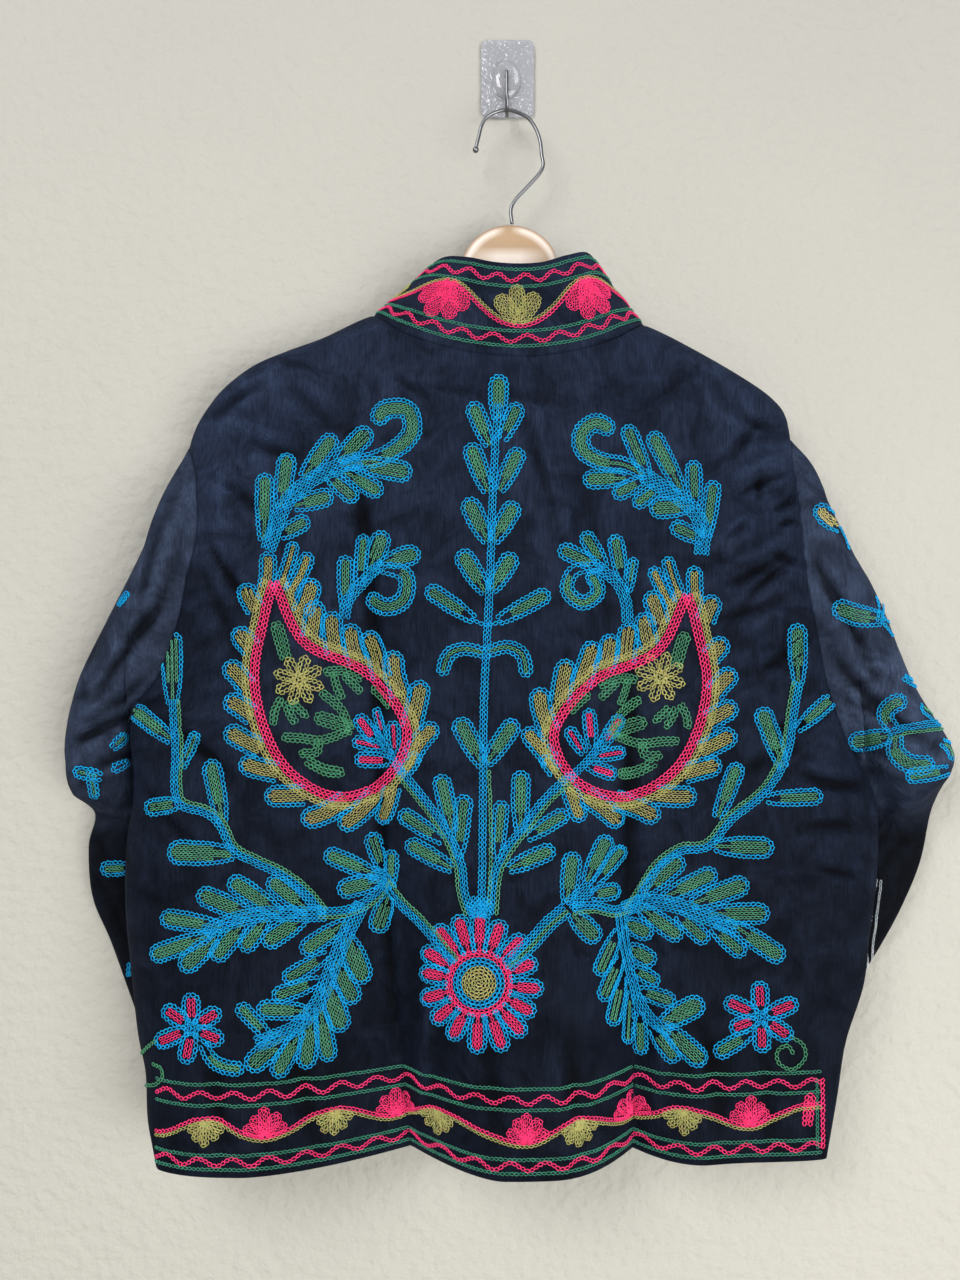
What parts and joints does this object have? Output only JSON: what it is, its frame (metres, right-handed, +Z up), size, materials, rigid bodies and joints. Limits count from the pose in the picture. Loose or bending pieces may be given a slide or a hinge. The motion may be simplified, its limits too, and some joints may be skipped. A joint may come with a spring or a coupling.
{
  "type": "suzani jacket on a hanger and wall hook",
  "caption": "Short black cotton jacket with a standing collar and bright chain-stitch flowers, leaves and paisleys, hung from a small wall hook on a moulded hanger with its back to the viewer.",
  "frame": {"origin": "middle of the wall plate's back face, where it sticks to the wall", "axes": "+Y into the wall, +Z up, +X to the right for someone facing the wall"},
  "size_m": [0.742, 0.1, 0.9366],
  "materials": {
    "cloth": "matt black cotton",
    "hanger": "glossy champagne",
    "steel": "bright drawn wire",
    "plate": "clear and hammered"
  },
  "bodies": {
    "root": {"back_panel": "cloth", "front_left": "cloth", "front_right": "cloth", "sleeve_left": "cloth", "sleeve_right": "cloth", "collar": "cloth", "hanger_body": "hanger", "hanger_wire": "steel", "wall_hook": "steel", "wall_plate": "plate", "hook_boss": "plate"}
  },
  "joints": []
}
